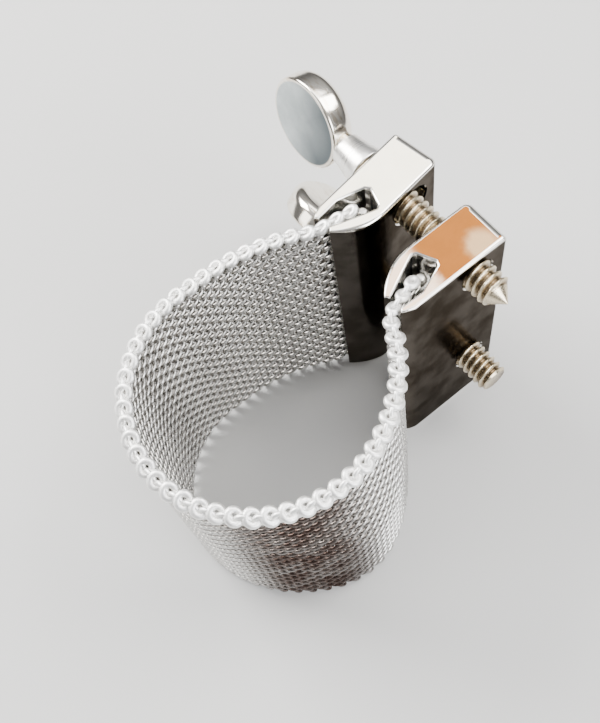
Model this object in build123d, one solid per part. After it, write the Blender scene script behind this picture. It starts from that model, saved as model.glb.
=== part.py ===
"""Saxophone ligature: a woven wire band held between two slotted jaw bars that two thumbscrews draw together.

The frame: Z runs up along the mouthpiece, X along the screws from their heads to their tips.
The origin is on the axis of the mouthpiece that the band grips, level with the band's lower edge.
"""
from build123d import *
import os
from math import cos, radians, sin, sqrt, tan

# Driving dimensions, in millimetres and degrees.
BAND_HEIGHT = 30.5
CLAMP_RADIUS = 11.6  # inside of the woven wall, where it lies round the mouthpiece
WALL = 1.05  # thickness of the weave
SELVEDGE_HEIGHT = 1.7  # chain of loops along the top of the weave
SELVEDGE_WIDTH = 1.5
RIGHT_ARC_END = 20.0  # the band leaves the mouthpiece circle at this angle
RIGHT_FLANK_RADIUS = 15.4
LEFT_FLANK_STRAIGHT = 2.6
LEFT_FLANK_RADIUS = 21.0
MOUTH_BEND_RADIUS = 1.8  # where the band turns into a jaw

JAW_THICKNESS = 5.4
JAW_LENGTH = 12.7
JAW_CORNER_OUTER = 0.5
JAW_CORNER_INNER = 0.9
JAW_EDGE = 0.3  # chamfer along the long sides and the far end
RIGHT_JAW_OUTER_X = 3.8
RIGHT_JAW_FAR_Y = 26.7
LEFT_JAW_CORNER = (-6.9, 27.6)  # far corner next to the gap
LEFT_JAW_YAW = 8.4  # the loose holes let the left jaw swing this far

PIN_RADIUS = 0.5  # wire pin in the last coil of the weave
PIN_FOOT = 0.2  # the pin stops this far above the lower edge
COIL_RADIUS = 1.03  # last coil of the weave, round the pin
PIN_ACROSS, PIN_ALONG = 2.85, 8.25  # from the jaw's outer face and far end
MOUTH_ACROSS, MOUTH_ALONG = 1.62, 12.4
MOUTH_TO_BEND = 0.95

SCREW_Y = 23.1
SCREW_HEIGHTS = {"upper": 27.4, "lower": 9.4}
THREAD_RADIUS = 1.75
ROD_CORE_RADIUS = 1.4
TENON_RADIUS = 0.9
THREAD_START_X = -11.9
POINT_X = 7.9
POINT_LENGTH = 1.6
BLUNT_CHAMFER = 0.35
NUT_CLEARANCE = 0.06
SLOT_PLAY = 0.15
SLOT_HEIGHT = 3.9

COLLAR_START_X, COLLAR_END_X = -15.9, -12.2
COLLAR_RADII = (1.75, 2.3)
HEAD_RADIUS = 5.0
HEAD_THICKNESS = 3.0
HEAD_CENTRE_X = -21.0
HEAD_BACK_ROUND = 1.2
HEAD_FRONT_ROUND = 0.25
NECK_RADIUS = 1.6
NECK_GROOVE = 0.25
FIT = 0.02  # play between pieces that are pressed or soldered together
HEAD_TURNS = {"upper": 12.0, "lower": -45.0}  # about the screw; at 0 the flat face is upright

WALL_CENTRE_RADIUS = CLAMP_RADIUS + WALL / 2


def along(start, direction, distance):
    """The point at this distance from start."""
    return Vector(*start) + Vector(*direction).normalized() * distance


def jaw_outline():
    """Plan of a right-hand jaw, its outer face on X 0 and its far end on Y 0, with the fork towards -Y."""
    t, outer_r, inner_r = JAW_THICKNESS, JAW_CORNER_OUTER, JAW_CORNER_INNER
    tip_start, tip_outer, lip_outer = (0, -11.3), (-0.55, -12.55), (-0.9, -12.3)
    chamber = [(-0.9, -9.7), (-2.2, -6.6), (-4.45, -7.65), (-2.95, -11.0)]
    lip_inner, tip_inner, shoulder = (-2.35, -12.3), (-2.75, -JAW_LENGTH), (-t, -7.8)
    edges = [
        Line((0, -outer_r), tip_start),
        Polyline(tip_start, tip_outer, lip_outer, *chamber, lip_inner, tip_inner),
        ThreePointArc(tip_inner, (-4.78, -10.4), shoulder),
        Line(shoulder, (-t, -inner_r)),
        CenterArc((inner_r - t, -inner_r), inner_r, 90, 90),
        Line((inner_r - t, 0), (-outer_r, 0)),
        CenterArc((-outer_r, -outer_r), outer_r, 0, 90),
    ]
    return make_face(Wire(Curve() + edges))


def on_long_side(edge):
    """Whether an edge of the jaw's end faces belongs to a straight side or the far end, not to the fork."""
    middle = edge @ 0.5
    return middle.Y > -JAW_CORNER_INNER or min(abs(middle.X), abs(middle.X + JAW_THICKNESS)) < JAW_EDGE / 10


def jaw_blank():
    """A right-hand jaw with no screw holes: full height, with softened edges."""
    bar = extrude(jaw_outline(), BAND_HEIGHT)
    ends = bar.faces().sort_by(Axis.Z)
    rim = (ends[0].edges() + ends[-1].edges()).filter_by(on_long_side)
    return chamfer(rim, JAW_EDGE)


def jaw_place(side):
    """Where a jaw's outline stands: right-hand outline coordinates to the ligature's frame."""
    if side == "right":
        return Location((RIGHT_JAW_OUTER_X, RIGHT_JAW_FAR_Y))
    corner = Location(LEFT_JAW_CORNER, (0, 0, LEFT_JAW_YAW))
    return corner * Location((-JAW_THICKNESS, 0))


def jaw_point(side, across, along_jaw):
    """A point of a jaw's plan, given from its outer face and its far end."""
    x = -across if side == "right" else across
    return (jaw_place(side) * Location((x, -along_jaw))).position


def screw_hole(side, height):
    """The hole for one screw, in jaw coordinates: round and tapped on the right, a loose slot on the left."""
    half = JAW_THICKNESS / 2
    if side == "right":
        opening = Circle(THREAD_RADIUS + NUT_CLEARANCE)
        middle = Vector(-half, SCREW_Y - RIGHT_JAW_FAR_Y, height)
    else:
        yaw = radians(LEFT_JAW_YAW)
        reach = THREAD_RADIUS / cos(yaw) + half * tan(yaw) + SLOT_PLAY
        opening = SlotOverall(2 * reach, SLOT_HEIGHT)
        middle = Vector(half, (SCREW_Y - LEFT_JAW_CORNER[1]) / cos(yaw) + half * tan(yaw), height)
    across = Plane(origin=middle, x_dir=(0, 1, 0), z_dir=(1, 0, 0))
    return extrude(across * opening, JAW_THICKNESS, both=True)


def jaw(side):
    """A finished jaw bar in its place."""
    bar = jaw_blank() if side == "right" else mirror(jaw_blank(), Plane.YZ)
    for height in SCREW_HEIGHTS.values():
        bar -= screw_hole(side, height)
    return jaw_place(side) * bar


def tangent_point(outside, centre, radius, turn):
    """Where the line from a point outside a circle touches it. turn is 1 or -1, for one side or the other."""
    to_centre = centre - outside
    reach = sqrt(to_centre.length**2 - radius**2)
    lean = turn * sqrt(1 - (reach / to_centre.length) ** 2)
    ahead = to_centre.normalized()
    across = Vector(-ahead.Y, ahead.X)
    return outside + (ahead * (reach / to_centre.length) + across * lean) * reach


def bend(before, corner, after):
    """A round bend at a corner: its first, middle and last point."""
    back, ahead = (before - corner).normalized(), (after - corner).normalized()
    half = radians(back.get_angle(ahead)) / 2
    reach = MOUTH_BEND_RADIUS / tan(half)
    middle_line = (back + ahead).normalized()
    middle = corner + middle_line * (MOUTH_BEND_RADIUS / sin(half) - MOUTH_BEND_RADIUS)
    return corner + back * reach, middle, corner + ahead * reach


def on_circle(centre, radius, angle):
    return centre + Vector(cos(radians(angle)), sin(radians(angle))) * radius


def flank(side):
    """The wall's centre line from the jaw's pin to the middle of the crown, as tangent lines and arcs."""
    pin = jaw_point(side, PIN_ACROSS, PIN_ALONG)
    mouth = jaw_point(side, MOUTH_ACROSS, MOUTH_ALONG)
    corner = along(mouth, mouth - pin, MOUTH_TO_BEND)
    if side == "right":
        leave, radius, turn = RIGHT_ARC_END, RIGHT_FLANK_RADIUS, 1
        centre = on_circle(Vector(0, 0), WALL_CENTRE_RADIUS - radius, leave)
    else:
        leave, radius, turn = 180.0, LEFT_FLANK_RADIUS, -1
        centre = Vector(radius - WALL_CENTRE_RADIUS, LEFT_FLANK_STRAIGHT)
    touch = tangent_point(corner, centre, radius, turn)
    first, middle, last = bend(pin, corner, touch)
    start = centre + Vector(radius if side == "right" else -radius, 0)
    if side == "right":
        start = on_circle(centre, radius, leave)
    half_way = centre + ((touch - centre).normalized() + (start - centre).normalized()).normalized() * radius
    crown_start = on_circle(Vector(0, 0), WALL_CENTRE_RADIUS, leave)
    crown_middle = (leave - 90) / 2 if side == "right" else (leave + 270) / 2
    edges = [
        Line(pin, first),
        ThreePointArc(first, middle, last),
        Line(last, touch),
        ThreePointArc(touch, half_way, start),
    ]
    if side == "left":
        edges.append(Line(start, crown_start))
    edges.append(
        ThreePointArc(
            crown_start,
            on_circle(Vector(0, 0), WALL_CENTRE_RADIUS, crown_middle),
            Vector(0, -WALL_CENTRE_RADIUS),
        )
    )
    return edges


def swept(edges, width, height, base, outward=0.0):
    """A strip of rectangular section that follows these edges, standing on the level called base."""
    path = Wire(edges)
    section = Plane(origin=path @ 0, x_dir=Vector(0, 0, 1), z_dir=path % 0)
    strip = section * Location((base + height / 2, outward)) * Rectangle(height, width)
    return sweep(strip, path=path)


def weave(side):
    """One half of the woven wall, with the coil that the pin holds in the jaw."""
    edges = flank(side)
    pin = edges[0] @ 0
    wall = swept(edges, WALL, BAND_HEIGHT - SELVEDGE_HEIGHT, 0)
    coil = Pos(pin.X, pin.Y) * extrude(Circle(COIL_RADIUS), BAND_HEIGHT - SELVEDGE_HEIGHT)
    hole = Pos(pin.X, pin.Y) * extrude(Circle(PIN_RADIUS + FIT), BAND_HEIGHT)
    return wall + coil - hole


def selvedge(side):
    """The thick chain of loops along the top of one half, outside the jaw."""
    turn = -1 if side == "right" else 1
    outward = turn * (SELVEDGE_WIDTH - WALL) / 2
    return swept(flank(side)[2:], SELVEDGE_WIDTH, SELVEDGE_HEIGHT, BAND_HEIGHT - SELVEDGE_HEIGHT, outward)


def end_pin(side):
    """The wire pin that keeps the last coil from pulling out of the jaw."""
    pin = jaw_point(side, PIN_ACROSS, PIN_ALONG)
    return Pos(pin.X, pin.Y, PIN_FOOT) * extrude(Circle(PIN_RADIUS), BAND_HEIGHT - SELVEDGE_HEIGHT - PIN_FOOT)


def turned(profile, height):
    """A solid of revolution on a screw's axis, from (x, radius) points."""
    outline = Polyline((profile[0][0], 0), *profile, (profile[-1][0], 0), close=True)
    solid = revolve(make_face(outline), axis=Axis.X)
    return Pos(0, SCREW_Y, height) * solid


def threaded_rod(name):
    """A screw's rod: tenon in the head, plain core under the collar, thread, and its end."""
    start = HEAD_CENTRE_X + HEAD_RADIUS - 2.2
    profile = [
        (start, TENON_RADIUS),
        (COLLAR_START_X, TENON_RADIUS),
        (COLLAR_START_X, ROD_CORE_RADIUS),
        (THREAD_START_X, ROD_CORE_RADIUS),
        (THREAD_START_X, THREAD_RADIUS),
    ]
    if name == "upper":
        base = POINT_X - POINT_LENGTH
        profile += [(base, THREAD_RADIUS), (base + 0.3, ROD_CORE_RADIUS), (POINT_X, 0.05)]
    else:
        profile += [(POINT_X - BLUNT_CHAMFER, THREAD_RADIUS), (POINT_X, ROD_CORE_RADIUS)]
    return turned(profile, SCREW_HEIGHTS[name])


def collar(name):
    """The tapered sleeve that bears on the left jaw."""
    small, large = COLLAR_RADII
    bore = ROD_CORE_RADIUS + FIT
    lead = 0.3
    profile = [
        (COLLAR_START_X, bore),
        (COLLAR_START_X, small - lead / 2),
        (COLLAR_START_X + lead, small),
        (COLLAR_END_X - lead, large),
        (COLLAR_END_X, large - lead / 2),
        (COLLAR_END_X, bore),
    ]
    sleeve = revolve(make_face(Polyline(*profile, close=True)), axis=Axis.X)
    return Pos(0, SCREW_Y, SCREW_HEIGHTS[name]) * sleeve


def thumb_head(name):
    """The round paddle that the fingers turn, with its grooved neck."""
    disc = extrude(Plane.XZ * Circle(HEAD_RADIUS), HEAD_THICKNESS / 2, both=True)
    disc = fillet(disc.edges().sort_by(Axis.Y)[-1], HEAD_BACK_ROUND)
    disc = fillet(disc.edges().sort_by(Axis.Y)[0], HEAD_FRONT_ROUND)
    disc = Pos(HEAD_CENTRE_X, 0, 0) * disc
    groove_x = (HEAD_CENTRE_X + HEAD_RADIUS + COLLAR_START_X) / 2
    neck = [
        (HEAD_CENTRE_X + HEAD_RADIUS - 2.6, NECK_RADIUS - 0.3),
        (groove_x - 0.5, NECK_RADIUS),
        (groove_x - 0.25, NECK_RADIUS - NECK_GROOVE),
        (COLLAR_START_X - 0.25, NECK_RADIUS - NECK_GROOVE),
        (COLLAR_START_X - 0.15, NECK_RADIUS),
        (COLLAR_START_X, NECK_RADIUS),
    ]
    outline = Polyline((neck[0][0], 0), *neck, (neck[-1][0], 0), close=True)
    head = disc + revolve(make_face(outline), axis=Axis.X)
    socket = Plane.YZ * Circle(TENON_RADIUS + FIT)
    head -= Pos(COLLAR_START_X - 2.6, 0, 0) * extrude(socket, 2.6)
    turn = Rot(-HEAD_TURNS[name], 0, 0)
    return Pos(0, SCREW_Y, SCREW_HEIGHTS[name]) * turn * head


def main():
    os.makedirs("parts", exist_ok=True)
    pieces = {}
    for side in ("left", "right"):
        pieces[f"{side}_jaw"] = jaw(side)
        pieces[f"{side}_weave"] = weave(side)
        pieces[f"{side}_selvedge"] = selvedge(side)
        pieces[f"{side}_end_pin"] = end_pin(side)
    for name in SCREW_HEIGHTS:
        pieces[f"{name}_thumb_head"] = thumb_head(name)
        pieces[f"{name}_collar"] = collar(name)
        pieces[f"{name}_threaded_rod"] = threaded_rod(name)
    for node, solid in pieces.items():
        export_step(solid, f"parts/{node}.step")
    return pieces


main()
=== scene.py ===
"""Looks of the saxophone ligature: woven wire band, knotted selvedge, two jaw bars and two thumbscrews.

Shapes are worked out in millimetres in the part's own frame (Z up the mouthpiece, X along the screws) and
turned into metres when a mesh is made.
"""
from math import acos, atan2, ceil, cos, degrees, pi, radians, sin, sqrt, tan

import bmesh
import bpy
import numpy as np
from mathutils import Matrix, Quaternion, Vector


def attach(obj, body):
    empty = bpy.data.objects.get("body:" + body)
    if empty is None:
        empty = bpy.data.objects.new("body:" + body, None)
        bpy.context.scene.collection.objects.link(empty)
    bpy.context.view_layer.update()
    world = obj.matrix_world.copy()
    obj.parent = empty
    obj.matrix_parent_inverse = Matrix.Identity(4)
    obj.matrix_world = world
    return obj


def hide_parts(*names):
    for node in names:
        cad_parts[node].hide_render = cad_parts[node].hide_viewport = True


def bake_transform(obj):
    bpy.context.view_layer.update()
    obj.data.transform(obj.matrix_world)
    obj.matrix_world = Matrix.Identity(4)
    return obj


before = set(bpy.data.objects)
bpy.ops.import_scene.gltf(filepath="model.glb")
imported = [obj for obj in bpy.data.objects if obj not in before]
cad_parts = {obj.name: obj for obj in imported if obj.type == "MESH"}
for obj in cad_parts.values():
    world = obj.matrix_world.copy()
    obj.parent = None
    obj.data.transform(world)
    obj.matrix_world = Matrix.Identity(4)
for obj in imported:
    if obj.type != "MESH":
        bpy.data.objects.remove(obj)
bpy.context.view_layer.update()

MM = 0.001
rng = np.random.default_rng(7)

# The band's line in plan.
CLAMP_RADIUS = 12.125  # middle of the woven wall round the mouthpiece
RIGHT_ARC_END = 20.0
RIGHT_FLANK_RADIUS = 15.4
LEFT_FLANK_STRAIGHT = 2.6
LEFT_FLANK_RADIUS = 21.0
MOUTH_BEND_RADIUS = 1.8
PIN_ACROSS, PIN_ALONG = 2.85, 8.25
MOUTH_ACROSS, MOUTH_ALONG = 1.62, 12.4
MOUTH_TO_BEND = 0.95
FLANK_BULGE = 1.3

# The weave: flattened spirals that stand side by side and hook through one another.
BAND_TOP = 30.5
WEAVE_TOP = 29.15
SPIRALS = 102
SPIRAL_PITCH = 1.75  # rise of one turn
SPIRAL_HALF_WIDTH = 0.63
SPIRAL_HALF_DEPTH = 0.29
SPIRAL_STEEPER_TURNS = 0.26  # how much of the rise is in the turns rather than across the faces
WIRE_RADIUS = 0.215
END_COIL_RADIUS = 0.78
END_COIL_TO_SPIRAL = 0.99
TURN_POINTS = 12
WIRE_SIDES = 8

# The selvedge: round rings that overlap like tiles, one for each pair of spirals, tied by upright loops.
RING_WIRE_RADIUS = 0.36
RING_HALF_LENGTH = 0.60
RING_HALF_WIDTH = 0.62
RING_IN_JAW_WIDTH = 0.36
RING_TILT = 24.0
RING_ROLL = 16.0
RING_OUTWARD = 0.08
RING_LEVEL = 29.74
TIE_WIRE_RADIUS = 0.24
TIE_HALF_LENGTH = 0.62
TIE_HALF_HEIGHT = 0.42

# The jaws.
JAW_THICKNESS = 5.4
JAW_LENGTH = 12.7
RIGHT_JAW_CORNER = (3.8, 26.7)
LEFT_JAW_CORNER = (-6.9, 27.6)
LEFT_JAW_YAW = 8.4
SCREW_Y = 23.1
SCREW_HEIGHTS = {"upper": 27.4, "lower": 9.4}

# The thumbscrews.
THREAD_RADIUS = 1.75
THREAD_PITCH = 0.8
THREAD_DEPTH = 0.42
ROD_CORE_RADIUS = 1.4
TENON_RADIUS = 0.9
THREAD_START_X = -11.9
POINT_X = 7.9
POINT_LENGTH = 1.6
COLLAR_START_X, COLLAR_END_X = -15.9, -12.2
HEAD_RADIUS = 5.0
HEAD_THICKNESS = 3.0
HEAD_CENTRE_X = -21.0
HEAD_TURNS = {"upper": 12.0, "lower": -45.0}


# ---------------------------------------------------------------- materials


class Nodes:
    """A short way to build one material's node tree."""

    def __init__(self, name):
        self.material = bpy.data.materials.new(name)
        self.material.use_nodes = True
        self.tree = self.material.node_tree
        self.shader = self.tree.nodes["Principled BSDF"]
        place = self.add("ShaderNodeTexCoord").outputs["Object"]
        scale = self.add("ShaderNodeVectorMath", operation="SCALE")
        scale.inputs["Scale"].default_value = 1 / MM
        self.link(place, scale.inputs[0])
        self.place = scale.outputs[0]  # in millimetres

    def add(self, kind, **settings):
        node = self.tree.nodes.new(kind)
        for key, value in settings.items():
            setattr(node, key, value)
        return node

    def link(self, output, socket):
        self.tree.links.new(output, socket)

    def stretched(self, x, y, z):
        """The place, squeezed along some axes, so that grain runs along the others."""
        node = self.add("ShaderNodeVectorMath", operation="MULTIPLY")
        node.inputs[1].default_value = (x, y, z)
        self.link(self.place, node.inputs[0])
        return node.outputs[0]

    def noise(self, scale, detail=3.0, roughness=0.55, place=None):
        node = self.add("ShaderNodeTexNoise")
        node.inputs["Scale"].default_value = scale
        node.inputs["Detail"].default_value = detail
        node.inputs["Roughness"].default_value = roughness
        self.link(place or self.place, node.inputs["Vector"])
        return node.outputs["Fac"]

    def spread(self, value, low, high, to_low, to_high, smooth=True):
        node = self.add("ShaderNodeMapRange", interpolation_type="SMOOTHSTEP" if smooth else "LINEAR")
        for socket, number in zip(("From Min", "From Max", "To Min", "To Max"), (low, high, to_low, to_high)):
            node.inputs[socket].default_value = number
        self.link(value, node.inputs["Value"])
        return node.outputs["Result"]

    def combine(self, x, y):
        """A flat vector from two numbers."""
        node = self.add("ShaderNodeCombineXYZ")
        self.link(x, node.inputs["X"])
        self.link(y, node.inputs["Y"])
        return node.outputs["Vector"]

    def attribute(self, name):
        node = self.add("ShaderNodeAttribute", attribute_name=name)
        return node.outputs["Fac"]

    def multiply(self, first, second):
        node = self.add("ShaderNodeMath", operation="MULTIPLY")
        self.link(first, node.inputs[0])
        self.link(second, node.inputs[1])
        return node.outputs[0]

    def mix(self, factor, first, second):
        """Colour first where factor is 0, second where it is 1. Each is a colour or an output."""
        node = self.add("ShaderNodeMix", data_type="RGBA")
        self.link(factor, node.inputs["Factor"])
        for colour, socket in ((first, node.inputs[6]), (second, node.inputs[7])):
            if isinstance(colour, tuple):
                socket.default_value = (*colour, 1.0)
            else:
                self.link(colour, socket)
        return node.outputs[2]

    def bump(self, height, strength, distance, below=None):
        node = self.add("ShaderNodeBump")
        node.inputs["Strength"].default_value = strength
        node.inputs["Distance"].default_value = distance * MM
        self.link(height, node.inputs["Height"])
        if below is not None:
            self.link(below, node.inputs["Normal"])
        return node.outputs["Normal"]

    def finish(self, colour, roughness, normal, metallic=1.0, grazing=1.0):
        self.link(colour, self.shader.inputs["Base Color"])
        self.link(roughness, self.shader.inputs["Roughness"])
        self.link(normal, self.shader.inputs["Normal"])
        self.shader.inputs["Metallic"].default_value = metallic
        self.shader.inputs["Specular Tint"].default_value = (grazing, grazing, grazing, 1)
        return self.material


def jaw_material(name, top, patch, prong):
    """Polished nickel over brass. The flat top's colour, with its patch and prong end, is a painted
    reflection: caramel on the right jaw, cream on the left. The rounded edges are painted pale as a painted
    highlight, and the sides are painted dark as painted shade.
    """
    n = Nodes(name)
    smears = n.noise(0.45, 4.0, 0.6)
    # The top colour passed in, and the patch and prong colours, are painted reflection, not the nickel's own
    # colour.
    reflected_top_colour = n.mix(n.spread(smears, 0.4, 0.62, 0.0, 1.0), top, tuple(0.94 * c for c in top))
    spots = n.noise(3.1, 5.0, 0.7)
    plate = n.mix(n.spread(spots, 0.62, 0.74, 0.0, 0.4), reflected_top_colour, tuple(0.85 * c for c in top))
    wobble = n.add("ShaderNodeVectorMath", operation="MULTIPLY_ADD")
    wobble.inputs[1].default_value = (1.2, 1.2, 0.0)
    n.link(n.noise(0.8, 2.0), wobble.inputs[0])
    n.link(n.place, wobble.inputs[2])
    split = n.add("ShaderNodeSeparateXYZ")
    n.link(wobble.outputs[0], split.inputs[0])
    away = n.add("ShaderNodeVectorMath", operation="DISTANCE")
    n.link(n.combine(split.outputs["X"], split.outputs["Y"]), away.inputs[0])
    away.inputs[1].default_value = (3.4, 24.9, 0.0)
    patched = n.mix(n.spread(away.outputs["Value"], 0.9, 2.2, 0.85, 0.0), plate, patch)
    forked = n.mix(n.spread(split.outputs["Y"], 18.7, 20.3, 1.0, 0.0), patched, prong)
    # The pale colour on the rounded edges is a painted highlight.
    edged = n.mix(n.attribute("edge"), forked, (0.96, 0.93, 0.87))
    # The dark, mottled colour of the sides is painted shade.
    blotches = n.spread(n.noise(0.3, 4.0), 0.35, 0.65, 0.0, 1.0)
    painted_side_shade = n.mix(blotches, (0.085, 0.075, 0.065), (0.15, 0.135, 0.12))
    sided = n.mix(n.attribute("side"), edged, painted_side_shade)
    colour = n.mix(n.attribute("chamber"), sided, (0.95, 0.93, 0.89))
    lines = n.noise(1.0, 6.0, 0.7, n.stretched(14.0, 0.5, 14.0))
    roughness = n.spread(lines, 0.3, 0.7, 0.09, 0.2)
    normal = n.bump(lines, 0.10, 0.02, n.bump(smears, 0.12, 0.12))
    return n.finish(colour, roughness, normal, grazing=0.35)


def weave_material():
    """Drawn wire, its tone varied from spiral to spiral, painted darker as painted shade where the spirals
    hook through one another, and painted dark brown on the front of the outer face as a painted reflection.
    """
    n = Nodes("woven_wire")
    # Wires deep in the wall, where spirals hook through one another, are painted darker as painted shade.
    painted_depth_shade_mask = n.spread(n.attribute("exposed"), 0.42, 0.95, 0.0, 1.0)
    strand = n.mix(n.attribute("strand"), (0.66, 0.65, 0.63), (0.80, 0.79, 0.77))
    wear_and_painted_shade = n.mix(painted_depth_shade_mask, (0.30, 0.285, 0.265), strand)
    # A dark brown painted reflection on the front of the outer face.
    painted_brown_reflection = n.multiply(n.attribute("painted_brown_reflection"), n.spread(n.noise(0.35, 3.0), 0.3, 0.6, 0.7, 1.0))
    colour = n.mix(painted_brown_reflection, wear_and_painted_shade, (0.075, 0.05, 0.042))
    grain = n.noise(5.5, 4.0, 0.65)
    roughness = n.spread(grain, 0.3, 0.7, 0.2, 0.36)
    return n.finish(colour, roughness, n.bump(grain, 0.2, 0.03))


def selvedge_material():
    """Thicker bright wire, painted a little darker on the inner side of each ring and tie as painted shade.
    """
    n = Nodes("selvedge_wire")
    # Painted shade on the inner side of each ring and tie.
    painted_fold_shade_mask = n.spread(n.attribute("exposed"), 0.25, 0.8, 0.0, 1.0)
    bright = n.mix(n.noise(0.9, 3.0), (0.98, 0.98, 0.97), (0.93, 0.92, 0.90))
    colour = n.mix(painted_fold_shade_mask, (0.66, 0.65, 0.63), bright)
    grain = n.noise(6.0, 4.0, 0.6)
    roughness = n.spread(grain, 0.3, 0.7, 0.42, 0.58)
    return n.finish(colour, roughness, n.bump(grain, 0.16, 0.03))


def pin_material():
    """Plain steel wire with draw lines along it."""
    n = Nodes("pin_wire")
    lines = n.noise(2.0, 5.0, 0.7, n.stretched(9.0, 9.0, 0.4))
    colour = n.mix(n.noise(0.8), (0.62, 0.61, 0.59), (0.48, 0.46, 0.43))
    roughness = n.spread(lines, 0.3, 0.7, 0.24, 0.42)
    return n.finish(colour, roughness, n.bump(lines, 0.25, 0.03))


def head_material():
    """A thumb head: satin cool plate on the flat faces, darker towards the neck as painted shade; polished on
    the rounded rim, the back and the neck, which are also painted brighter and warmer as a painted highlight.
    """
    n = Nodes("head_plate")
    rim = n.attribute("rim")
    clouds = n.noise(0.5, 4.0, 0.6)
    pale = n.mix(n.spread(clouds, 0.35, 0.65, 0.0, 1.0), (0.56, 0.61, 0.62), (0.47, 0.52, 0.53))
    # The front face is painted darker towards the neck as painted shade.
    face = n.mix(n.attribute("shade"), pale, (0.085, 0.105, 0.115))
    streaks = n.noise(0.8, 4.0, 0.65, n.stretched(0.7, 2.4, 0.7))
    # Rim, back and neck: polished plate, also painted brighter and warmer than the faces as a painted
    # highlight.
    edge = n.mix(n.spread(streaks, 0.5, 0.68, 0.0, 1.0), (0.93, 0.88, 0.79), (0.76, 0.67, 0.55))
    colour = n.mix(rim, face, edge)
    fine = n.noise(9.0, 5.0, 0.7)
    satin = n.spread(fine, 0.3, 0.7, 0.30, 0.42)
    polish = n.spread(rim, 0.0, 1.0, 1.0, 0.38)
    return n.finish(colour, n.multiply(satin, polish), n.bump(fine, 0.12, 0.02, n.bump(clouds, 0.1, 0.1)))


def collar_material():
    """Turned and plated sleeve with faint rings from the lathe."""
    n = Nodes("collar_plate")
    rings = n.noise(3.0, 3.0, 0.6, n.stretched(3.0, 0.05, 0.05))
    clouds = n.noise(0.7, 4.0, 0.6)
    colour = n.mix(n.spread(clouds, 0.4, 0.66, 0.0, 1.0), (0.97, 0.96, 0.93), (0.93, 0.90, 0.84))
    roughness = n.spread(rings, 0.3, 0.7, 0.26, 0.4)
    return n.finish(colour, roughness, n.bump(rings, 0.16, 0.03))


def thread_material():
    """Brass thread, bright on the crests and dark in the grooves."""
    n = Nodes("thread_brass")
    crest = n.spread(n.attribute("crest"), 0.15, 0.9, 0.0, 1.0)
    wear_and_painted_shade = n.mix(n.noise(1.3, 4.0), (0.74, 0.66, 0.50), (0.60, 0.50, 0.35))
    colour = n.mix(crest, (0.26, 0.20, 0.13), wear_and_painted_shade)
    grain = n.noise(7.0, 5.0, 0.7)
    roughness = n.spread(grain, 0.3, 0.7, 0.2, 0.38)
    return n.finish(colour, roughness, n.bump(grain, 0.25, 0.03))


def floor_material():
    """Pale matt paper."""
    n = Nodes("pale_paper")
    fibre = n.noise(1.6, 5.0, 0.6)
    colour = n.mix(n.noise(0.02, 3.0), (0.55, 0.55, 0.545), (0.52, 0.52, 0.515))
    return n.finish(colour, n.spread(fibre, 0.0, 1.0, 0.75, 0.9), n.bump(fibre, 0.05, 0.05), metallic=0.0)


# ---------------------------------------------------------------- mesh helpers


def new_piece(name, points, faces, material, attributes=None, sharp=30.0):
    """A smooth-shaded object from points in millimetres. Attributes are one number for each point."""
    mesh = bpy.data.meshes.new(name)
    mesh.from_pydata((np.asarray(points, float) * MM).tolist(), [], faces)
    mesh.validate()
    for key, values in (attributes or {}).items():
        layer = mesh.attributes.new(key, "FLOAT", "POINT")
        layer.data.foreach_set("value", np.asarray(values, np.float32))
    mesh.shade_smooth()
    if sharp:
        mesh.set_sharp_from_angle(angle=radians(sharp))
    mesh.materials.append(material)
    piece = bpy.data.objects.new(name, mesh)
    bpy.context.scene.collection.objects.link(piece)
    return piece


def settle(piece, body, slot, *nodes):
    """Puts a piece on its body and hides the CAD nodes that it stands for."""
    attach(piece, body)
    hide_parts(*nodes)
    return piece


class Tubes:
    """Round wires gathered into one mesh."""

    def __init__(self, sides):
        self.turn = np.arange(sides) * 2 * pi / sides
        self.sides = sides
        self.points, self.faces, self.count = [], [], 0

    def wire(self, line, away, radius, closed=False):
        """A wire along line. away is, for each point, a direction that isn't along the line."""
        ahead = np.roll(line, -1, 0) - np.roll(line, 1, 0) if closed else np.gradient(line, axis=0)
        ahead /= np.linalg.norm(ahead, axis=1, keepdims=True)
        across = away - (away * ahead).sum(1, keepdims=True) * ahead
        across /= np.linalg.norm(across, axis=1, keepdims=True)
        other = np.cross(ahead, across)
        cosine, sine = np.cos(self.turn)[None, :, None], np.sin(self.turn)[None, :, None]
        ring = across[:, None] * cosine + other[:, None] * sine
        self.points.append((line[:, None] + ring * radius).reshape(-1, 3))
        rows, sides = len(line), self.sides
        for row in range(rows if closed else rows - 1):
            here, there = self.count + row * sides, self.count + (row + 1) % rows * sides
            for side in range(sides):
                beside = (side + 1) % sides
                self.faces.append((here + side, here + beside, there + beside, there + side))
        if not closed:
            self.faces.append(tuple(self.count + side for side in reversed(range(sides))))
            self.faces.append(tuple(self.count + (rows - 1) * sides + side for side in range(sides)))
        self.count += rows * sides
        return rows * sides


def lathe(profile, axis_turn, steps=96):
    """Points and faces of a closed turned solid. Profile is (along, radius) pairs, its ends on the axis.
    The axis is X, then turned by the matrix axis_turn."""
    points, faces = [], []
    for along, radius in profile:
        for step in range(steps):
            turn = 2 * pi * step / steps
            points.append(axis_turn @ Vector((along, radius * cos(turn), radius * sin(turn))))
    for row in range(len(profile) - 1):
        for step in range(steps):
            beside = (step + 1) % steps
            here, above = row * steps, (row + 1) * steps
            faces.append((here + step, here + beside, above + beside, above + step))
    faces.append(tuple(reversed(range(steps))))
    faces.append(tuple((len(profile) - 1) * steps + step for step in range(steps)))
    return points, faces


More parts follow.
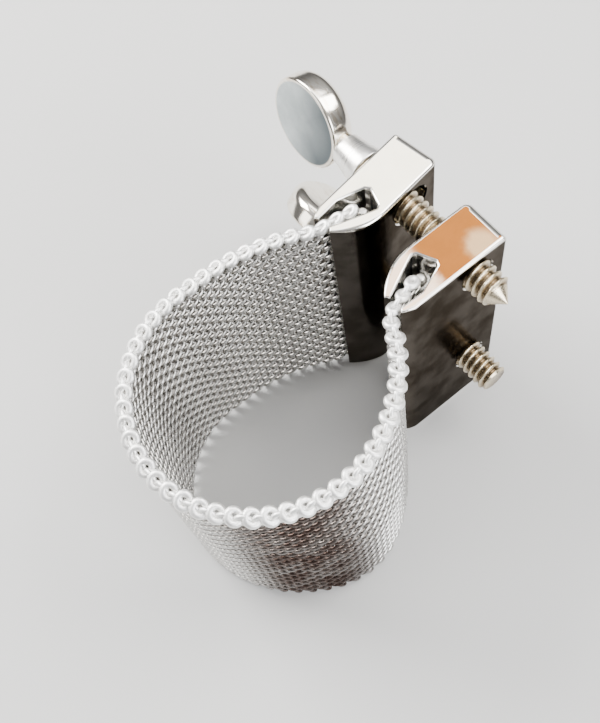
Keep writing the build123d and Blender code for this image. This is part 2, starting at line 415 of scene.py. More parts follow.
def round_corner(centre, radius, start, end, count=6):
    """Points of an arc in a profile, from one angle in degrees to another."""
    angles = [radians(start + (end - start) * step / count) for step in range(count + 1)]
    return [(centre[0] + radius * cos(angle), centre[1] + radius * sin(angle)) for angle in angles]


def keep_faces_flat(piece):
    """Weighted normals, so that flat plates stay flat next to their rounded edges."""
    modifier = piece.modifiers.new("weighted", "WEIGHTED_NORMAL")
    modifier.mode = "FACE_AREA"
    modifier.weight = 100
    modifier.keep_sharp = True


# ---------------------------------------------------------------- the band's line


def jaw_place(side):
    """Outline coordinates of a jaw to the ligature's frame, in plan."""
    if side == "right":
        return Matrix.Translation((*RIGHT_JAW_CORNER, 0))
    turn = Matrix.Rotation(radians(LEFT_JAW_YAW), 4, "Z")
    mirrored = Matrix.Diagonal((-1, 1, 1, 1))
    aside = Matrix.Translation((-JAW_THICKNESS, 0, 0))
    return Matrix.Translation((*LEFT_JAW_CORNER, 0)) @ turn @ aside @ mirrored


def jaw_point(side, across, along):
    """A point of a jaw's plan, given from its outer face and its far end."""
    return (jaw_place(side) @ Vector((-across, -along, 0))).xy


def tangent_point(outside, centre, radius, turn):
    """Where the line from a point outside a circle touches it, on one side (turn 1) or the other (-1)."""
    to_centre = centre - outside
    distance = to_centre.length
    reach = sqrt(distance**2 - radius**2)
    ahead = to_centre / distance
    across = Vector((-ahead.y, ahead.x))
    return outside + (ahead * reach + across * turn * radius) * (reach / distance)


def arc(centre, start, end, clockwise):
    """Closely spaced points of an arc from start to end."""
    first = atan2(*(start - centre).yx)
    sweep = (atan2(*(end - centre).yx) - first) % (2 * pi)
    if clockwise:
        sweep -= 2 * pi
    steps = max(2, ceil(abs(sweep) * 60))
    radius = (start - centre).length
    return [
        centre + radius * Vector((cos(first + sweep * step / steps), sin(first + sweep * step / steps)))
        for step in range(steps + 1)
    ]


def flank(side):
    """The band's middle line from a jaw's pin to the point where the crown circle begins."""
    pin = jaw_point(side, PIN_ACROSS, PIN_ALONG)
    mouth = jaw_point(side, MOUTH_ACROSS, MOUTH_ALONG)
    corner = mouth + (mouth - pin).normalized() * MOUTH_TO_BEND
    if side == "right":
        leave, radius, turn = radians(RIGHT_ARC_END), RIGHT_FLANK_RADIUS, 1
        centre = Vector((cos(leave), sin(leave))) * (CLAMP_RADIUS - radius)
        start = Vector((cos(leave), sin(leave))) * CLAMP_RADIUS
    else:
        radius, turn = LEFT_FLANK_RADIUS, -1
        centre = Vector((radius - CLAMP_RADIUS, LEFT_FLANK_STRAIGHT))
        start = Vector((-CLAMP_RADIUS, LEFT_FLANK_STRAIGHT))
    touch = tangent_point(corner, centre, radius, turn)
    back, ahead = (pin - corner).normalized(), (touch - corner).normalized()
    half = acos(back.dot(ahead)) / 2
    reach = MOUTH_BEND_RADIUS / tan(half)
    bend_centre = corner + (back + ahead).normalized() * (MOUTH_BEND_RADIUS / sin(half))
    bend_is_clockwise = back.x * ahead.y - back.y * ahead.x > 0
    bend = arc(bend_centre, corner + back * reach, corner + ahead * reach, bend_is_clockwise)
    return [pin, *bend, *arc(centre, touch, start, side == "right")]


def band_line():
    """The middle line from the right pin round the crown to the left pin: points and lengths along it."""
    right, left = flank("right"), flank("left")
    crown = arc(Vector((0, 0)), right[-1], Vector((-CLAMP_RADIUS, 0)), True)
    line = np.array([tuple(p) for p in [*right, *crown[1:], *reversed(left)]])
    lengths = np.concatenate([[0], np.cumsum(np.linalg.norm(np.diff(line, axis=0), axis=1))])
    even = np.linspace(0, lengths[-1], 4000)
    line = np.stack([np.interp(even, lengths, line[:, axis]) for axis in (0, 1)], 1)
    return even, line


LENGTHS, LINE = band_line()
BAND_LENGTH = LENGTHS[-1]
AHEAD = np.gradient(LINE, axis=0)
AHEAD /= np.linalg.norm(AHEAD, axis=1, keepdims=True)
MIDDLE = LENGTHS[np.argmin(LINE[:, 1])]  # where the left and right halves meet, at the foot of the crown


def on_band(along, inward, level):
    """Points of the band: a distance along its line, one towards the inside, and a height."""
    point = [np.interp(along, LENGTHS, LINE[:, axis]) for axis in (0, 1)]
    ahead = [np.interp(along, LENGTHS, AHEAD[:, axis]) for axis in (0, 1)]
    return np.stack([point[0] + ahead[1] * inward, point[1] - ahead[0] * inward, level], -1)


def band_direction(along, forward, inward, up):
    """A direction on the band, from its parts along the band, towards the inside, and up."""
    ahead = [np.interp(along, LENGTHS, AHEAD[:, axis]) for axis in (0, 1)]
    x, y = ahead[0] * forward + ahead[1] * inward, ahead[1] * forward - ahead[0] * inward
    return np.stack([x, y, up], -1)


SPACING = (BAND_LENGTH - 2 * END_COIL_TO_SPIRAL) / (SPIRALS - 1)


def spiral(middle, turns, base, half_width=SPIRAL_HALF_WIDTH, half_depth=SPIRAL_HALF_DEPTH):
    """A flattened spiral that rises round a vertical line. Turns are angles; base is the level at angle 0."""
    forward, inward = -np.cos(turns), np.sin(turns)
    rise = (turns + SPIRAL_STEEPER_TURNS * np.sin(2 * turns)) / (2 * pi)
    line = np.stack([middle + half_width * forward, half_depth * inward, base + SPIRAL_PITCH * rise], -1)
    return line, np.stack([forward, inward, 0 * turns], -1)


def curve_between(start, leave, end, arrive, count):
    """Inner points of a smooth curve from start, leaving one way, to end, arriving another way."""
    t = np.linspace(0, 1, count + 2)[1:-1, None]
    pull_out, pull_in = start + leave, end - arrive
    return (1 - t) ** 3 * start + 3 * t * (1 - t) ** 2 * pull_out + 3 * t**2 * (1 - t) * pull_in + t**3 * end


def spiral_pair(number):
    """Two neighbouring spirals made of one wire that turns back at the band's lower edge."""
    first = END_COIL_TO_SPIRAL + SPACING * 2 * number
    lowest = WIRE_RADIUS + 0.2 + rng.uniform(0, 0.06)
    turns_up = 2 * pi * (WEAVE_TOP - lowest) / SPIRAL_PITCH
    step = 2 * pi / TURN_POINTS
    wide = SPIRAL_HALF_WIDTH + rng.uniform(-0.012, 0.012)
    deep = SPIRAL_HALF_DEPTH + rng.uniform(-0.012, 0.012)
    down, down_away = spiral(first, np.arange(0, turns_up, step), lowest, wide, deep)
    half_a_pitch_up = lowest + SPIRAL_PITCH / 2
    up, up_away = spiral(first + SPACING, np.arange(0, turns_up - pi, step), half_a_pitch_up, wide, deep)
    down, down_away = down[::-1], down_away[::-1]
    rise = np.array([0.0, deep, SPIRAL_PITCH / (2 * pi)]) * 1.1
    turn_back = curve_between(down[-1], -rise, up[0], rise, 7)
    share = np.linspace(0, 1, 9)[1:-1, None]
    sideways = np.array([1.0, 0, 0]) * np.cos(share * pi / 3)
    turn_away = np.array([0.0, -1.0, 0.0]) * np.sin(share * pi) - sideways
    return np.concatenate([down, turn_back, up]), np.concatenate([down_away, turn_away, up_away])


def end_coil(middle):
    """The last spiral of a half, wound round the jaw's pin."""
    lowest = WIRE_RADIUS + 0.15
    turns = np.arange(0, 2 * pi * (WEAVE_TOP - 0.5 - lowest) / SPIRAL_PITCH, 2 * pi / TURN_POINTS)
    line, away = spiral(0, turns, lowest, END_COIL_RADIUS, END_COIL_RADIUS)
    ahead = np.array([np.interp(middle, LENGTHS, AHEAD[:, axis]) for axis in (0, 1)])
    place = np.array([np.interp(middle, LENGTHS, LINE[:, axis]) for axis in (0, 1)])
    flat = line[:, :1] * ahead + line[:, 1:2] * np.array([ahead[1], -ahead[0]])
    flat_away = away[:, :1] * ahead + away[:, 1:2] * np.array([ahead[1], -ahead[0]])
    return np.column_stack([flat + place, line[:, 2]]), np.column_stack([flat_away, 0 * turns])


def blended(piece, node):
    """Bakes a half of the band's placement into its mesh and hides its CAD node. Halfway is at the height of
    the crown's foot.
    """
    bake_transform(piece)
    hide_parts(node)


def weave(side, material):
    """One half of the woven wall."""
    tubes = Tubes(WIRE_SIDES)
    exposed, strand, painted_brown_reflection = [], [], []
    for number in range(SPIRALS // 2):
        flat, away = spiral_pair(number)
        middle = END_COIL_TO_SPIRAL + SPACING * (2 * number + 0.5)
        tone = rng.uniform(0, 1)
        if (middle < MIDDLE) != (side == "right"):
            continue
        line = on_band(flat[:, 0], flat[:, 1], flat[:, 2])
        made = tubes.wire(line, band_direction(flat[:, 0], *away.T), WIRE_RADIUS)
        strand.append(np.full(made, tone))
    middle = 0.0 if side == "right" else BAND_LENGTH
    line, away = end_coil(middle)
    strand.append(np.full(tubes.wire(line, away, WIRE_RADIUS), 0.5))
    points = np.concatenate(tubes.points)
    nearest = nearest_on_line(points)
    depth = signed_depth(points, nearest)
    exposed = np.clip(np.abs(depth) / (SPIRAL_HALF_DEPTH + WIRE_RADIUS), 0, 1)
    bearing = np.degrees(np.arctan2(points[:, 1], points[:, 0]))
    # Mask of the dark brown painted reflection: outer wires round bearing -24 degrees.
    painted_brown_reflection = np.exp(-(((bearing + 24) / 28) ** 4)) * (depth < 0.1)
    points = bulged(points)
    attributes = {"exposed": exposed, "strand": np.concatenate(strand), "painted_brown_reflection": painted_brown_reflection}
    piece = new_piece(f"{side}_woven_wall", points, tubes.faces, material, attributes, sharp=None)
    blended(piece, f"{side}_weave")


def bulged(points):
    """The soft wall leans outwards below its stiff selvedge on the right flank."""
    bearing = np.degrees(np.arctan2(points[:, 1], points[:, 0]))
    below = np.clip((28.5 - points[:, 2]) / 17.0, 0, 1)
    lean = FLANK_BULGE * np.exp(-(((bearing - 8) / 34) ** 2)) * below * below * (3 - 2 * below)
    outward = points[:, :2] / np.linalg.norm(points[:, :2], axis=1, keepdims=True)
    return np.column_stack([points[:, :2] + outward * lean[:, None], points[:, 2]])


def nearest_on_line(points):
    """Index of the band-line point closest to each point in plan."""
    found = np.zeros(len(points), int)
    thin = LINE[::8]
    for start in range(0, len(points), 20000):
        block = points[start : start + 20000, None, :2]
        found[start : start + 20000] = ((block - thin[None]) ** 2).sum(-1).argmin(1) * 8
    return found


def signed_depth(points, nearest):
    """How far each point lies inside (above 0) or outside the band's middle line."""
    away = points[:, :2] - LINE[nearest]
    ahead = AHEAD[nearest]
    return away[:, 0] * ahead[:, 1] - away[:, 1] * ahead[:, 0]


def jaw_nearness(along):
    """0 on the open band and 1 inside a jaw's mouth."""
    from_end = np.minimum(along, BAND_LENGTH - along)
    t = np.clip((7.5 - from_end) / 2.5, 0, 1)
    return t * t * (3 - 2 * t)


def ring(middle):
    """One ring of the selvedge: it lies nearly flat, with one end over its neighbour and one end under."""
    turns = np.linspace(0, 2 * pi, 30, endpoint=False)
    narrow = jaw_nearness(middle)
    half_width = RING_HALF_WIDTH + (RING_IN_JAW_WIDTH - RING_HALF_WIDTH) * narrow
    half_width *= 1 + rng.uniform(-0.05, 0.05)
    tilt, roll = radians(RING_TILT + rng.uniform(-3, 3)), radians(RING_ROLL * (1 - narrow))
    ahead, across = RING_HALF_LENGTH * np.cos(turns), half_width * np.sin(turns)
    level = RING_LEVEL + ahead * sin(tilt) + across * sin(roll) + rng.uniform(-0.03, 0.03)
    line = on_band(middle + ahead * cos(tilt), across * cos(roll) - RING_OUTWARD * (1 - narrow), level)
    return line, line - line.mean(0)


def tie(middle):
    """An upright loop that holds two rings together, leaning towards the outside."""
    turns = np.linspace(0, 2 * pi, 24, endpoint=False)
    ahead, rise = TIE_HALF_LENGTH * np.cos(turns), TIE_HALF_HEIGHT * np.sin(turns)
    outward = 0.26 * (1 - jaw_nearness(middle)) * (1 - 0.6 * np.sin(turns))
    line = on_band(middle + ahead, -outward, RING_LEVEL - 0.08 + rise)
    return line, line - line.mean(0)


def selvedge(side, material):
    """The chain of rings and ties along the top of one half."""
    tubes = Tubes(10)
    exposed = []
    for number in range(SPIRALS // 2):
        middle = END_COIL_TO_SPIRAL + SPACING * (2 * number + 0.5)
        shapes = [(ring(middle), RING_WIRE_RADIUS, 0.86)]
        if number + 1 < SPIRALS // 2:
            shapes.append((tie(middle + SPACING), TIE_WIRE_RADIUS, 0.6))
        if (middle < MIDDLE) != (side == "right"):
            continue
        for (line, away), radius, full in shapes:
            tubes.wire(line, away, radius, closed=True)
            made = tubes.points[-1]
            reach = np.linalg.norm(made - line.mean(0), axis=1)
            exposed.append(np.clip(reach / full, 0, 1))
    points = bulged(np.concatenate(tubes.points))
    attributes = {"exposed": np.concatenate(exposed)}
    piece = new_piece(f"{side}_selvedge_chain", points, tubes.faces, material, attributes, sharp=None)
    blended(piece, f"{side}_selvedge")


# ---------------------------------------------------------------- the jaws


def jaw_outline():
    """A right-hand jaw's plan, its outer face on X 0 and its far end on Y 0, as (x, y, edge rounding) points.
    The rounding is that of the top edge which starts at the point."""
    t, outer, inner = JAW_THICKNESS, 0.5, 0.9
    long_outer, long_inner, far, tip, chamber = 0.34, 0.3, 0.85, 0.16, 0.3
    points = [(0, -outer, long_outer), (0, -11.3, tip), (-0.3, -12.1, tip), (-0.55, -12.55, tip)]
    points += [(-0.9, -12.3, tip), (-0.9, -9.7, chamber), (-2.05, -6.95, chamber), (-2.45, -6.72, chamber)]
    points += [(-4.2, -7.55, chamber), (-4.38, -7.95, chamber), (-2.95, -11.0, tip), (-2.35, -12.3, tip)]
    points += [(-2.75, -JAW_LENGTH, tip)]
    for share in np.linspace(0, 1, 12)[1:-1].tolist():
        x, y = prong_arc(share)
        points.append((x, y, tip + (0.45 - tip) * min(1.0, share * 3)))
    points += [(-t, -7.8, long_inner), (-t, -inner - 1.2, long_inner)]
    points += corner_points((inner - t, -inner), inner, 180, 90, long_inner, far)
    points += corner_points((-outer, -outer), outer, 90, 0, far, long_outer)[:-1]
    return points


def prong_arc(share):
    """The inner prong's outside: a bulging curve from its tip to the shoulder."""
    tip, middle, shoulder = Vector((-2.75, -12.7)), Vector((-4.78, -10.4)), Vector((-5.4, -7.8))
    pull = 2 * middle - (tip + shoulder) / 2
    point = (1 - share) ** 2 * tip + 2 * share * (1 - share) * pull + share**2 * shoulder
    return point.x, point.y


def corner_points(centre, radius, start, end, first_rounding, last_rounding):
    """Points round a corner of the plan, with the top edge's rounding changing on the way."""
    steps = 8
    points = []
    for step in range(steps + 1):
        turn = radians(start + (end - start) * step / steps)
        rounding = first_rounding + (last_rounding - first_rounding) * step / steps
        points.append((centre[0] + radius * cos(turn), centre[1] + radius * sin(turn), rounding))
    return points


def inset(outline, share):
    """The outline moved inwards by share of each edge's rounding."""
    moved = []
    for number, (x, y, rounding) in enumerate(outline):
        before = outline[number - 1]
        after = outline[(number + 1) % len(outline)]
        edge_in, edge_out = Vector((x - before[0], y - before[1])), Vector((after[0] - x, after[1] - y))
        normals = [Vector((edge.y, -edge.x)).normalized() for edge in (edge_in, edge_out)]
        distances = [before[2] * share, rounding * share]
        cross = normals[0].x * normals[1].y - normals[0].y * normals[1].x
        if abs(cross) < 0.5:
            middle = (normals[0] + normals[1]).normalized()
            step = middle * (sum(distances) / 2 / middle.dot(normals[0]))
        else:
            step = Vector((
                (distances[0] * normals[1].y - distances[1] * normals[0].y) / cross,
                (distances[1] * normals[0].x - distances[0] * normals[1].x) / cross,
            ))
        moved.append(Vector((x, y)) + step)
    return moved


def jaw_solid():
    """A right-hand jaw with no holes, in outline coordinates: rounded top and bottom edges."""
    outline = jaw_outline()
    steps = 5
    count = len(outline)
    roundings = [(outline[i - 1][2] + outline[i][2]) / 2 for i in range(count)]
    rings = []
    foot_share = 0.7
    for step in range(steps + 1):
        turn = pi / 2 * (1 - step / steps)
        ring = inset(outline, foot_share * (1 - cos(turn)))
        rings.append([(*p, foot_share * r * (1 - sin(turn))) for p, r in zip(ring, roundings)])
    for step in range(steps + 1):
        turn = pi / 2 * step / steps
        ring = inset(outline, 1 - cos(turn))
        rings.append([(*p, BAND_TOP - r * (1 - sin(turn))) for p, r in zip(ring, roundings)])
    points = [p for ring in rings for p in ring]
    faces = [tuple(range(count)), tuple(reversed(range(len(points) - count, len(points))))]
    for row in range(len(rings) - 1):
        for number in range(count):
            beside = (number + 1) % count
            base = row * count
            faces.append((base + beside, base + number, base + count + number, base + count + beside))
    return points, faces


def racetrack(half_length, half_height, offset, steps=32):
    """Outline of a slot, or of a circle where the two sizes are equal, widened by offset."""
    shift = half_length - half_height
    radius = half_height + offset
    angles = [2 * pi * (step + 0.5) / steps for step in range(steps)]
    return [(radius * cos(a) + (shift if cos(a) > 0 else -shift), radius * sin(a)) for a in angles]


def hole_cutter(side, height):
    """A cutter for one screw hole, in outline coordinates, flared where it meets the jaw's faces."""
    t = JAW_THICKNESS
    if side == "right":
        half_length = half_height = THREAD_RADIUS + 0.06
        middle = SCREW_Y - RIGHT_JAW_CORNER[1]
    else:
        yaw = radians(LEFT_JAW_YAW)
        half_length = THREAD_RADIUS / cos(yaw) + t / 2 * tan(yaw) + 0.15
        half_height = 1.95
        middle = (SCREW_Y - LEFT_JAW_CORNER[1]) / cos(yaw) + t / 2 * tan(yaw)
    flare = 0.14
    stations = [(1.0, 1.0 + flare), (-flare, 0), (flare - t, 0), (-t - 1.0, 1.0 + flare)]
    points, faces = [], []
    for x, offset in stations:
        points += [(x, middle + y, height + z) for y, z in racetrack(half_length, half_height, offset)]
    count = len(points) // len(stations)
    for row in range(len(stations) - 1):
        for number in range(count):
            beside = (number + 1) % count
            base = row * count
            faces.append((base + number, base + beside, base + count + beside, base + count + number))
    faces.append(tuple(reversed(range(count))))
    faces.append(tuple(range(len(points) - count, len(points))))
    return points, faces


def outward_faces(mesh):
    """Turns every face of a closed mesh outwards."""
    work = bmesh.new()
    work.from_mesh(mesh)
    bmesh.ops.recalc_face_normals(work, faces=work.faces)
    work.to_mesh(mesh)
    work.free()


def jaw(side, material):
    """A jaw bar with its screw holes."""
    place = jaw_place(side)
    points, faces = jaw_solid()
    piece = new_piece(f"{side}_jaw_bar", [place @ Vector(p) for p in points], faces, material, sharp=None)
    outward_faces(piece.data)
    for height in SCREW_HEIGHTS.values():
        points, faces = hole_cutter(side, height)
        cutter = new_piece("cutter", [place @ Vector(p) for p in points], faces, material, sharp=None)
        outward_faces(cutter.data)
        modifier = piece.modifiers.new("hole", "BOOLEAN")
        modifier.object, modifier.operation, modifier.solver = cutter, "DIFFERENCE", "EXACT"
        cut = bpy.data.meshes.new_from_object(piece.evaluated_get(bpy.context.evaluated_depsgraph_get()))
        piece.modifiers.clear()
        piece.data = cut
        bpy.data.objects.remove(cutter)
    piece.data.name = piece.name
    mark_faces(piece.data, place)
    piece.data.shade_smooth()
    piece.data.set_sharp_from_angle(angle=radians(28))
    keep_faces_flat(piece)
    settle(piece, f"{side}_half", "jaw_plate", f"{side}_jaw")


# The chamber inside a jaw's fork, in the jaw's own plan, and the slopes that tell its faces apart.
CHAMBER_ACROSS = (-4.6, -0.85)
CHAMBER_ALONG = (-12.6, -6.4)
UPRIGHT, SLANTED, LEVEL = 0.12, 0.9, 0.995
PRONG_REACH = 0.3


def mark_faces(mesh, place):
    """Marks each face of a jaw as rounded edge, outer side or chamber wall, for its material."""
    back = place.inverted()
    marks = {"edge": [], "side": [], "chamber": []}
    for face in mesh.polygons:
        slope = abs(face.normal.z)
        x, y = (back @ (face.center / MM)).xy
        across, along = CHAMBER_ACROSS, CHAMBER_ALONG
        inside = across[0] < x < across[1] and along[0] < y < along[1] and not outside_prong(x, y)
        marks["edge"].append(UPRIGHT < slope < LEVEL and not inside)
        marks["side"].append(slope <= UPRIGHT and not inside)
        marks["chamber"].append(slope <= SLANTED and inside)
    for key, values in marks.items():
        layer = mesh.attributes.new(key, "FLOAT", "FACE")
        layer.data.foreach_set("value", np.asarray(values, np.float32))


def outside_prong(x, y):
    """Whether a point in a jaw's plan is on the bulging outside of its inner prong."""
    outline = map(prong_arc, np.linspace(0, 1, 40).tolist())
    return min(Vector((px - x, py - y)).length for px, py in outline) < PRONG_REACH


def end_pin(side, material):
    """The wire pin in the last coil, with rounded ends."""
    pin = jaw_point(side, PIN_ACROSS, PIN_ALONG)
    radius, bottom, top = 0.5, 0.2, 28.8
    profile = [(bottom, 0.02), *[(bottom + 0.25 - 0.25 * sin(t), radius - 0.25 + 0.25 * cos(t)) for t in
               (1.4, 1.0, 0.5, 0.0)], (bottom + 0.3, radius)]
    profile += [(top - 0.3, radius), *[(top - 0.25 + 0.25 * sin(t), radius - 0.25 + 0.25 * cos(t)) for t in
                (0.0, 0.5, 1.0, 1.4)], (top, 0.02)]
    upright = Matrix.Translation((*pin, 0)) @ Matrix.Rotation(radians(-90), 4, "Y")
    points, faces = lathe(profile, upright, 24)
    piece = new_piece(f"{side}_pin_wire", points, faces, material)
    settle(piece, f"{side}_half", "pin_wire", f"{side}_end_pin")


# ---------------------------------------------------------------- the thumbscrews


def thread_radius(x, point_like):
    """Largest radius of the rod at each place along it, with the thread's run-out and its end."""
    start = HEAD_CENTRE_X + HEAD_RADIUS - 2.2
    limit = np.full_like(x, THREAD_RADIUS)
    limit = np.where(x < THREAD_START_X, ROD_CORE_RADIUS, limit)
    limit = np.where(x < COLLAR_START_X, TENON_RADIUS, limit)
    limit = np.minimum(limit, np.maximum((x - start) * 3 + 0.1, 0.05))
    if point_like:
        base = POINT_X - POINT_LENGTH
        cone = 1.42 * (POINT_X - x) / POINT_LENGTH + 0.03
        return np.where(x > base, np.minimum(limit, cone), limit)
    return np.minimum(limit, THREAD_RADIUS - np.clip(x - (POINT_X - 0.35), 0, 1))


def rod(name, material):
    """A screw's rod with a real helical thread, pointed on the upper screw and blunt on the lower."""
    around, per_pitch = 48, 16
    start = HEAD_CENTRE_X + HEAD_RADIUS - 2.2
    rows = int((POINT_X - start) / THREAD_PITCH * per_pitch)
    x = np.linspace(start, POINT_X, rows)
    turns = np.arange(around) * 2 * pi / around
    grid_x, grid_turn = np.meshgrid(x, turns, indexing="ij")
    phase = (grid_x / THREAD_PITCH - grid_turn / (2 * pi)) % 1.0
    ridge = 1 - np.abs(phase * 2 - 1)
    ridge = np.clip((ridge - 0.1) / 0.78, 0, 1)
    threaded = THREAD_RADIUS - THREAD_DEPTH * (1 - ridge)
    on_thread = np.clip((grid_x - THREAD_START_X) / 0.4, 0, 1)
    limit = thread_radius(grid_x, name == "upper")
    radius = np.minimum(limit, threaded * on_thread + limit * (1 - on_thread))
    points = np.stack(
        [grid_x, SCREW_Y + radius * np.cos(grid_turn), SCREW_HEIGHTS[name] + radius * np.sin(grid_turn)], -1
    ).reshape(-1, 3)
    faces = []
    for row in range(rows - 1):
        for step in range(around):
            beside = (step + 1) % around
            faces.append((row * around + step, row * around + beside, (row + 1) * around + beside,
                          (row + 1) * around + step))
    faces.append(tuple(reversed(range(around))))
    faces.append(tuple((rows - 1) * around + step for step in range(around)))
    crest = np.where(grid_x > THREAD_START_X, ridge, 1.0)
    if name == "upper":
        crest = np.where(grid_x > POINT_X - POINT_LENGTH + 0.2, 1.0, crest)
    piece = new_piece(f"{name}_screw_thread", points, faces, material, {"crest": crest.ravel()}, sharp=40)
    settle(piece, f"{name}_screw", "thread_brass", f"{name}_threaded_rod")


def collar(name, material):
    """The tapered sleeve between the head and the jaw."""
    x0, x1 = COLLAR_START_X, COLLAR_END_X
    profile = [(x0, ROD_CORE_RADIUS + 0.02), *round_corner((x0 + 0.14, 1.61), 0.14, 180, 90)]
    profile += [(x0 + 0.9, 1.87), (x0 + 1.8, 2.02), (x0 + 2.8, 2.2)]
    profile += [*round_corner((x1 - 0.16, 2.14), 0.16, 90, 0), (x1, ROD_CORE_RADIUS + 0.02)]
    place = Matrix.Translation((0, SCREW_Y, SCREW_HEIGHTS[name]))
    points, faces = lathe(profile, place)
    ends = faces[-2:]
    faces = faces[:-2]
    steps = len(ends[0])
    last = (len(profile) - 1) * steps
    for step in range(steps):
        beside = (step + 1) % steps
        faces.append((last + step, last + beside, beside, step))
    piece = new_piece(f"{name}_collar_sleeve", points, faces, material)
    outward_faces(piece.data)
    keep_faces_flat(piece)
    settle(piece, f"{name}_screw", "collar_plate", f"{name}_collar")


def head(name, material):
    """The paddle and its grooved neck."""
    half = HEAD_THICKNESS / 2
    face, back = 0.28, 1.25
    disc = [(-half + 0.04, 0.02), (-half + 0.03, HEAD_RADIUS - 0.75), (-half, HEAD_RADIUS - face - 0.18)]
    disc += round_corner((-half + face, HEAD_RADIUS - face), face, 180, 90)
    disc += round_corner((half - back, HEAD_RADIUS - back), back, 90, 8, 10)
    disc += [(half + 0.1, 2.6), (half + 0.17, 1.2), (half + 0.18, 0.02)]
    turn = Matrix.Rotation(radians(-HEAD_TURNS[name]), 4, "X")
    place = Matrix.Translation((0, SCREW_Y, SCREW_HEIGHTS[name])) @ turn
    to_side = Matrix.Translation((HEAD_CENTRE_X, 0, 0)) @ Matrix.Rotation(radians(90), 4, "Z")
    points, faces = lathe(disc, place @ to_side, 160)
    # rim is 1 on the rounded rim, the back and the neck: polished, and painted brighter as a painted
    # highlight.
    rim = []
    for along, radius in disc:
        rim += [1.0 if radius > HEAD_RADIUS - 0.3 or along > 0 else 0.0] * 160
    # shade: painted shade that darkens the front face towards the neck.
    shade = [min(1.0, max(0.0, (x - HEAD_CENTRE_X + 2.4) / 5.0)) for x, y, z in points]
    x0 = HEAD_CENTRE_X + HEAD_RADIUS
    neck = [(x0 - 2.6, 0.9), (x0 - 0.8, 1.05), (x0 - 0.25, 1.3)]
    neck += round_corner((x0 - 0.02, 1.32), 0.27, 130, 40)
    neck += [(x0 + 0.22, 1.3), (COLLAR_START_X, 1.32), (COLLAR_START_X, 0.92)]
    neck_points, neck_faces = lathe(neck, place, 64)
    shift = len(points)
    points += neck_points
    faces += [tuple(index + shift for index in f) for f in neck_faces]
    rim += [1.0] * len(neck_points)
    shade += [0.0] * len(neck_points)
    piece = new_piece(f"{name}_thumb_paddle", points, faces, material, {"rim": rim, "shade": shade}, sharp=38)
    keep_faces_flat(piece)
    settle(piece, f"{name}_screw", "head_plate", f"{name}_thumb_head")


# ---------------------------------------------------------------- stage, light and camera


def floor(material):
    size = 1500.0
    corners = [(-size, -size, 0), (size, -size, 0), (size, size, 0), (-size, size, 0)]
    new_piece("floor", [(x, y, -0.02) for x, y, z in corners], [(0, 1, 2, 3)], material, sharp=None)


def soft_light(name, place, aim, size, power, colour):
    """A square soft box. Places are in millimetres."""
    data = bpy.data.lights.new(name, "AREA")
    data.size, data.energy, data.color = size * MM, power, colour
    light = bpy.data.objects.new(name, data)
    light.location = Vector(place) * MM
    light.rotation_mode = "QUATERNION"
    light.rotation_quaternion = (Vector(aim) - Vector(place)).to_track_quat("-Z", "Y")
    bpy.context.scene.collection.objects.link(light)


def room():
    """A soft room: bright overhead, dim at the level of the table."""
    world = bpy.data.worlds.new("studio")
    bpy.context.scene.world = world
    world.use_nodes = True
    tree = world.node_tree
    background = tree.nodes["Background"]
    place = tree.nodes.new("ShaderNodeTexCoord")
    split = tree.nodes.new("ShaderNodeSeparateXYZ")
    ramp = tree.nodes.new("ShaderNodeValToRGB")
    tree.links.new(place.outputs["Generated"], split.inputs[0])
    height = tree.nodes.new("ShaderNodeMapRange")
    height.inputs["From Min"].default_value = -1.0
    tree.links.new(split.outputs["Z"], height.inputs["Value"])
    tree.links.new(height.outputs["Result"], ramp.inputs["Fac"])
    stops = [(0.0, 0.10), (0.5, 0.14), (0.62, 0.20), (0.80, 0.55), (1.0, 0.95)]
    while len(ramp.color_ramp.elements) < len(stops):
        ramp.color_ramp.elements.new(0.5)
    for element, (position, grey) in zip(ramp.color_ramp.elements, stops):
        element.position = position
        element.color = (grey, grey, grey * 1.01, 1)
    tree.links.new(ramp.outputs["Color"], background.inputs["Color"])
    background.inputs["Strength"].default_value = 0.9


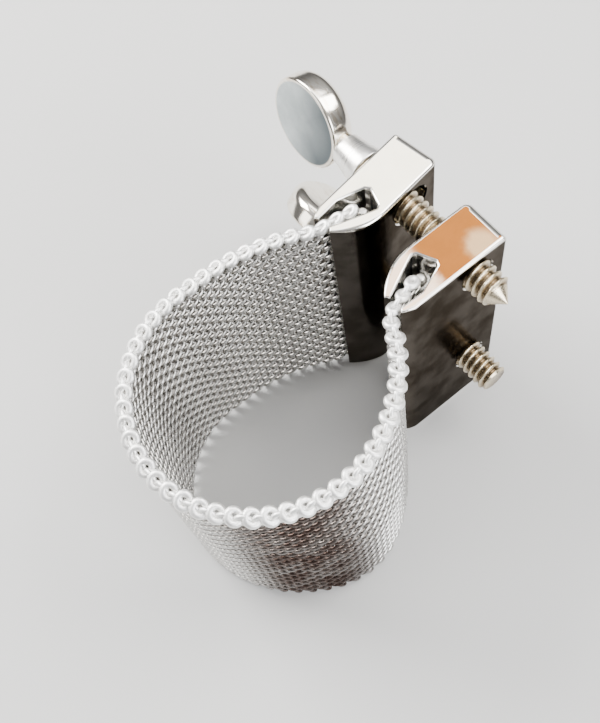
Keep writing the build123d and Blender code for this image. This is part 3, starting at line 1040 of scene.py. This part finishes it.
def camera(azimuth, elevation, roll, distance, target, lens):
    """A camera that looks at a point. Azimuth 0 looks along +Y and 90 along -X."""
    data = bpy.data.cameras.new("camera")
    data.lens, data.sensor_width, data.sensor_fit = lens, 36.0, "AUTO"
    data.clip_start, data.clip_end = 0.005, 10.0
    view = bpy.data.objects.new("camera", data)
    a, e = radians(azimuth), radians(elevation)
    back = Vector((sin(a) * cos(e), -cos(a) * cos(e), sin(e)))
    view.location = (Vector(target) + back * distance) * MM
    view.rotation_mode = "QUATERNION"
    view.rotation_quaternion = (-back).to_track_quat("-Z", "Y") @ Quaternion((0, 0, 1), radians(roll))
    bpy.context.scene.collection.objects.link(view)
    bpy.context.scene.camera = view


# ---------------------------------------------------------------- the scene

camera(azimuth=65.23, elevation=65.07, roll=-14.7, distance=106.36, target=(-5.46, 7.23, 15.0), lens=49.8)
floor(floor_material())
room()
soft_light("window", (-210, -60, 210), (0, 6, 15), 170, 2.2, (1.0, 0.985, 0.96))
soft_light("overhead", (70, 190, 260), (0, 6, 15), 150, 1.1, (1.0, 0.98, 0.95))
soft_light("side", (-110, -270, 150), (0, 6, 15), 150, 0.35, (1.0, 0.99, 0.97))
soft_light("ceiling", (-75, 115, 300), (0, 6, 15), 190, 0.55, (1.0, 0.99, 0.97))
soft_light("fill", (270, 60, 150), (0, 6, 15), 170, 1.2, (0.97, 0.98, 1.0))

wire, chain, pins = weave_material(), selvedge_material(), pin_material()
# The caramel and cream tops are painted reflection on one and the same nickel plate.
plates = {
    "right": jaw_material("nickel_painted_caramel_reflection", (0.23, 0.083, 0.017), (0.42, 0.28, 0.155), (0.70, 0.52, 0.38)),
    "left": jaw_material("nickel_painted_cream_reflection", (0.97, 0.91, 0.74), (0.97, 0.91, 0.76), (0.95, 0.88, 0.74)),
}
heads, sleeves, brass = head_material(), collar_material(), thread_material()
for side in ("right", "left"):
    weave(side, wire)
    selvedge(side, chain)
    jaw(side, plates[side])
    end_pin(side, pins)
for name in SCREW_HEIGHTS:
    rod(name, brass)
    collar(name, sleeves)
    head(name, heads)
